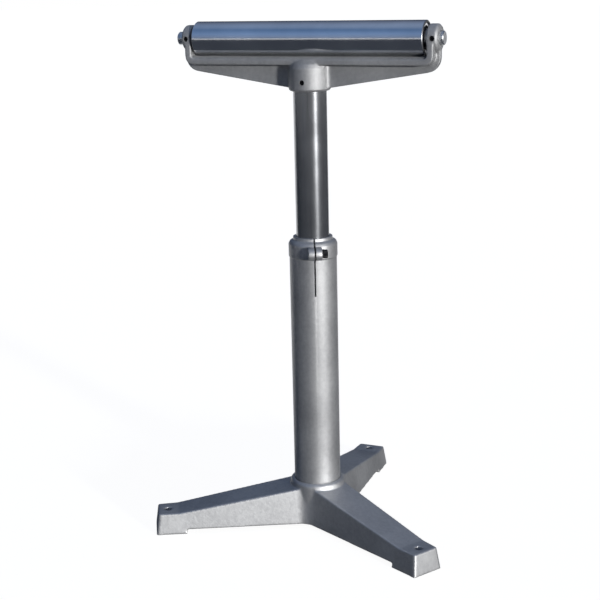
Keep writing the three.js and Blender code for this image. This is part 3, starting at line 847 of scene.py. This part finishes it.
def race(groove, facing):
    """A ring's groove for the balls, as (radius, distance along) points, facing in or out."""
    opening = math.acos(RACE_SHOULDER / groove)
    points = []
    for step in range(RACE_STEPS + 1):
        angle = opening * (2 * step / RACE_STEPS - 1)
        points.append((BALL_PITCH + facing * groove * math.cos(angle), groove * math.sin(angle)))
    return points


def bearing_ring(name, node, far, facing):
    """One grooved ring of a bearing. far is its plain side's radius."""
    low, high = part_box(node)
    half = (high.x - low.x) / 2
    near = BALL_PITCH + facing * RACE_SHOULDER
    groove = race(BALL_RADIUS + FIT, facing)
    form = turned(
        [(near, -half), *groove, (near, half), (far, half), (far, -half)],
        (low + high) / 2,
        ALONG,
        RING_STEPS,
    )
    ring = add_piece(name, form)
    smooth_shaded(ring)
    ring.data.materials.append(bearing_steel)
    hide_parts(node)
    return ring


def ball_places(middle):
    """Where the balls of a bearing sit, round the axle from the top."""
    for ball in range(BALL_COUNT):
        turn = Matrix.Rotation(2 * math.pi * ball / BALL_COUNT, 4, "X")
        yield Matrix.Translation(middle) @ turn @ Matrix.Translation((0, 0, BALL_PITCH))


for end in ENDS:
    low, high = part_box(f"bearing_outer_ring_{end}")
    middle = (low + high) / 2
    outer = bearing_ring(f"outer_ring_{end}", f"bearing_outer_ring_{end}", (high.z - low.z) / 2, 1)
    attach(outer, "roller")
    inner = bearing_ring(f"inner_ring_{end}", f"bearing_inner_ring_{end}", axle_radius + FIT, -1)
    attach(inner, "head")

    balls_form = bmesh.new()
    for place in ball_places(middle):
        bmesh.ops.create_icosphere(
            balls_form, subdivisions=BALL_FINENESS, radius=BALL_RADIUS, matrix=place
        )
    balls = add_piece(f"balls_{end}", balls_form)
    balls.data.shade_smooth()
    balls.data.materials.append(bearing_steel)
    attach(balls, f"cage_{end}")
    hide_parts(*[f"bearing_ball_{end}_{ball + 1}" for ball in range(BALL_COUNT)])

    cage_inner = BALL_PITCH - CAGE_HALF_THICKNESS
    cage = turned_ring(f"cage_{end}", f"bearing_cage_{end}", cage_inner, CAGE_EDGE, CAGE_STEPS)
    pockets_form = bmesh.new()
    for place in ball_places(middle):
        add_bar(pockets_form, place, BALL_RADIUS + FIT, 8 * CAGE_HALF_THICKNESS, POCKET_STEPS)
    machined(cage, add_piece("pockets", pockets_form), "DIFFERENCE")
    smooth_shaded(cage)
    cage.data.materials.append(cage_brass)
    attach(cage, f"cage_{end}")

    for side in ("outer", "inner"):
        seal_inner = BALL_PITCH - RACE_SHOULDER + FIT
        seal = turned_ring(
            f"seal_{end}_{side}", f"bearing_seal_{end}_{side}", seal_inner, SEAL_EDGE, RING_STEPS
        )
        seal.data.materials.append(seal_rubber)
        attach(seal, "roller")

# Roller: a steel tube, turned and polished, whose end faces and chamfers are painted dark and
# left rough: painted shade. Both ends are counterbored, and the bearings are pressed into them.
ROLLER_STEEL = (0.860, 0.868, 0.880, 1)
ROLLER_SHADE = (0.740, 0.750, 0.770, 1)
ROLLER_END_SHADE = (0.200, 0.202, 0.208, 1)
ROLLER_ROUGH = 0.10
ROLLER_CLOUDS = 22
ROLLER_RINGS = (700, 12, 12)
ROLLER_RELIEF = 0.0002
ROLLER_RELIEF_SHARE = 0.04
ROLLER_STEPS = 160
ROLLER_CHAMFER = 0.001
ROLLER_WALL = 0.005
BEARING_SEAT = 0.0213
BEARING_SEAT_DEPTH = 0.0138

roller_low, roller_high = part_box("roller_tube")
roller_half = (roller_high.x - roller_low.x) / 2
roller_radius = (roller_high.z - roller_low.z) / 2
seat_start = roller_half - BEARING_SEAT_DEPTH
roller_form = turned(
    [
        (roller_radius - ROLLER_CHAMFER, -roller_half),
        (roller_radius, ROLLER_CHAMFER - roller_half),
        (roller_radius, roller_half - ROLLER_CHAMFER),
        (roller_radius - ROLLER_CHAMFER, roller_half),
        (BEARING_SEAT, roller_half),
        (BEARING_SEAT, seat_start),
        (roller_radius - ROLLER_WALL, seat_start),
        (roller_radius - ROLLER_WALL, -seat_start),
        (BEARING_SEAT, -seat_start),
        (BEARING_SEAT, -roller_half),
    ],
    (roller_low + roller_high) / 2,
    ALONG,
    ROLLER_STEPS,
)
roller = add_piece("roller", roller_form)
smooth_shaded(roller)


def turned_steel():
    """Turned and polished steel: fine rings, faint handling marks, and ends painted dark as painted
    shade.
    """
    finish, start, shader = finish_nodes("roller_steel")
    place = start.node("TexCoord", {}, {}, "Object")
    lines = place.stretched(*ROLLER_RINGS).noise(1, detail=3)
    clouds = place.noise(ROLLER_CLOUDS, detail=5)
    along = start.node("SeparateXYZ", {}, {"Vector": place}, "X")
    # The end faces and chamfers are darkened: painted shade.
    shaded_end = abs(along - roller_middle.x).range(roller_half - ROLLER_CHAMFER, roller_half)
    colour = clouds.range(0.35, 0.7).mixed(ROLLER_SHADE, ROLLER_STEEL)
    colour = shaded_end.mixed(colour, ROLLER_END_SHADE)
    rough = ROLLER_ROUGH + 0.06 * lines + 0.08 * clouds + 0.35 * shaded_end
    relief = lines.relief(ROLLER_RELIEF_SHARE, ROLLER_RELIEF)
    feed(shader, Base_Color=colour, Roughness=rough, Metallic=1.0, Normal=relief)
    return finish


roller.data.materials.append(turned_steel())
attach(roller, "roller")
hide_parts("roller_tube")

# Floor: a wide pale studio floor, which keeps the stand's soft shadow. It is white to the eye
# and in reflections, and throws only a little light back on the stand.
FLOOR_REACH = 300
FLOOR_DROP = 0.0003
FLOOR_PALE = (0.16, 0.16, 0.16, 1)
FLOOR_WHITE = (0.95, 0.95, 0.95, 1)
FLOOR_UNSEEN = (0, 0, 0, 1)

floor_form = bmesh.new()
bmesh.ops.create_grid(floor_form, x_segments=1, y_segments=1, size=FLOOR_REACH)
bmesh.ops.translate(floor_form, verts=floor_form.verts, vec=(0, 0, -FLOOR_DROP))
floor = add_piece("floor", floor_form)
floor_finish, floor_start, floor_shader = finish_nodes("floor_white")
seen = floor_start.node("LightPath", {}, {}, "Is Camera Ray")
shown = (seen + seen.beside("Is Glossy Ray") + seen.beside("Is Transmission Ray")).range(0, 1)
feed(floor_shader, Base_Color=FLOOR_PALE, Roughness=1.0, Emission_Strength=1.0)
feed(floor_shader, Emission_Color=shown.mixed(FLOOR_UNSEEN, FLOOR_WHITE))
floor.data.materials.append(floor_finish)

# Backdrop: a round white wall, far off on every side, so that the eye meets no sky. Light and
# reflections pass it, so the stand is still lit by the sky and mirrors it.
BACKDROP_REACH = 40
BACKDROP_STEPS = 128
BACKDROP_WHITE = (1, 1, 1, 1)

wall_form = bmesh.new()
bmesh.ops.create_cone(
    wall_form,
    segments=BACKDROP_STEPS,
    radius1=BACKDROP_REACH,
    radius2=BACKDROP_REACH,
    depth=2 * BACKDROP_REACH,
)
wall = add_piece("backdrop", wall_form)
wall_finish, _, wall_shader = finish_nodes("backdrop_white")
feed(wall_shader, Base_Color=FLOOR_UNSEEN, Roughness=1.0, Emission_Strength=1.0)
feed(wall_shader, Emission_Color=BACKDROP_WHITE, Specular_IOR_Level=0.0)
wall.data.materials.append(wall_finish)
wall.visible_diffuse = False
wall.visible_glossy = False
wall.visible_shadow = False

# Mat: a dark sheet on the floor round the stand that only reflections see, a painted reflection,
# so that polished steel mirrors a dark ground. Behind the stand the pale floor is left bare.
MAT_REACH = 12
MAT_STEPS = 96
MAT_REFLECTION_DARK = (0.18, 0.18, 0.18, 1)
MAT_BARE_FROM = math.radians(82)
MAT_BARE_TO = math.radians(166)

mat_form = bmesh.new()
bmesh.ops.create_circle(mat_form, cap_ends=True, cap_tris=True, segments=MAT_STEPS, radius=MAT_REACH)
bare = []
for wedge in mat_form.faces:
    middle = wedge.calc_center_median()
    if MAT_BARE_FROM < math.atan2(middle.y, middle.x) < MAT_BARE_TO:
        bare.append(wedge)
bmesh.ops.delete(mat_form, geom=bare, context="FACES")
bmesh.ops.translate(mat_form, verts=mat_form.verts, vec=(0, 0, FLOOR_DROP / 3 - FLOOR_DROP))
mat = add_piece("mat", mat_form)
mat_finish, _, mat_shader = finish_nodes("mat_painted_reflection")
# The mat's dark colour is seen only in reflections: a painted reflection.
feed(mat_shader, Base_Color=MAT_REFLECTION_DARK, Roughness=1.0, Specular_IOR_Level=0.0)
mat.data.materials.append(mat_finish)
mat.visible_camera = False
mat.visible_diffuse = False
mat.visible_shadow = False

# Light: one low, soft key lamp from the front right, and a dim blue sky for the rest. The sky has
# one brighter opening, to the front left, which the polished steel mirrors as its blue band.
KEY_FROM = Vector((0.843, -0.527, 0.105))
KEY_STRENGTH = 3.5
KEY_SOFTNESS = math.radians(4)
SKY_STRENGTH = 1.0
SKY_STOPS = [
    (0.0, (0.17, 0.21, 0.30, 1)),
    (0.15, (0.22, 0.29, 0.43, 1)),
    (0.45, (0.19, 0.30, 0.52, 1)),
    (0.80, (0.09, 0.17, 0.33, 1)),
    (1.0, (0.26, 0.33, 0.47, 1)),
]
SKY_DIM_STOPS = [
    (0.0, (0.010, 0.011, 0.013, 1)),
    (0.3, (0.035, 0.045, 0.070, 1)),
    (0.65, (0.110, 0.140, 0.210, 1)),
    (1.0, (0.250, 0.305, 0.430, 1)),
]
OPENING_LEFT = (-0.53, -0.49)
OPENING_RIGHT = (-0.23, -0.27)
OPENING_BACK = (0.5, 0.0)

key = bpy.data.lights.new("key", "SUN")
key.energy = KEY_STRENGTH
key.angle = KEY_SOFTNESS
key_lamp = bpy.data.objects.new("key", key)
key_lamp.rotation_euler = KEY_FROM.to_track_quat("Z", "Y").to_euler()
bpy.context.scene.collection.objects.link(key_lamp)

sky = bpy.data.worlds.new("sky")
sky.use_nodes = True
bpy.context.scene.world = sky
air = Shade(sky.node_tree)
direction = air.node("TexCoord", {}, {}, "Generated")
height = air.node("SeparateXYZ", {}, {"Vector": direction}, "Z")
depth = height.beside("Y")
breadth = height.beside("X")
bright_sky = air.node("ValToRGB", {"stops": SKY_STOPS}, {"Fac": height.range(0, 1)}, "Color")
dim_sky = air.node("ValToRGB", {"stops": SKY_DIM_STOPS}, {"Fac": height.range(0, 1)}, "Color")
across_opening = breadth.range(*OPENING_LEFT) * breadth.range(*OPENING_RIGHT)
opening = across_opening * depth.range(*OPENING_BACK)
sky_colour = opening.mixed(dim_sky, bright_sky)
background = sky.node_tree.nodes["Background"]
feed(background, Color=sky_colour, Strength=SKY_STRENGTH)

# Camera: where the photograph was taken from, a little above the roller and to its right. It
# looks down at the stand, and its small roll and turn are those of the photograph.
CAMERA_SIDE = math.radians(22.649)
CAMERA_DISTANCE = 1.895389
CAMERA_HEIGHT = 0.84091
CAMERA_PITCH = math.radians(14.275)
CAMERA_ROLL = math.radians(1.160)
CAMERA_YAW = math.radians(0.6326)
CAMERA_LENS = 76.62

ahead = Vector((
    -math.sin(CAMERA_SIDE) * math.cos(CAMERA_PITCH),
    math.cos(CAMERA_SIDE) * math.cos(CAMERA_PITCH),
    -math.sin(CAMERA_PITCH),
))
across = Vector((math.cos(CAMERA_SIDE), math.sin(CAMERA_SIDE), 0))
upward = across.cross(ahead)
rolled = across * math.cos(CAMERA_ROLL) - upward * math.sin(CAMERA_ROLL)
upright = across * math.sin(CAMERA_ROLL) + upward * math.cos(CAMERA_ROLL)
facing = ahead * math.cos(CAMERA_YAW) - rolled * math.sin(CAMERA_YAW)
aside = rolled * math.cos(CAMERA_YAW) + ahead * math.sin(CAMERA_YAW)
lens = bpy.data.cameras.new("camera")
lens.lens = CAMERA_LENS
lens.clip_end = 4 * FLOOR_REACH
camera = bpy.data.objects.new("camera", lens)
camera.matrix_world = Matrix((
    (aside.x, upright.x, -facing.x, axis.x + CAMERA_DISTANCE * math.sin(CAMERA_SIDE)),
    (aside.y, upright.y, -facing.y, axis.y - CAMERA_DISTANCE * math.cos(CAMERA_SIDE)),
    (aside.z, upright.z, -facing.z, CAMERA_HEIGHT),
    (0, 0, 0, 1),
))
bpy.context.scene.collection.objects.link(camera)
bpy.context.scene.camera = camera
bpy.context.scene.view_settings.view_transform = "Standard"
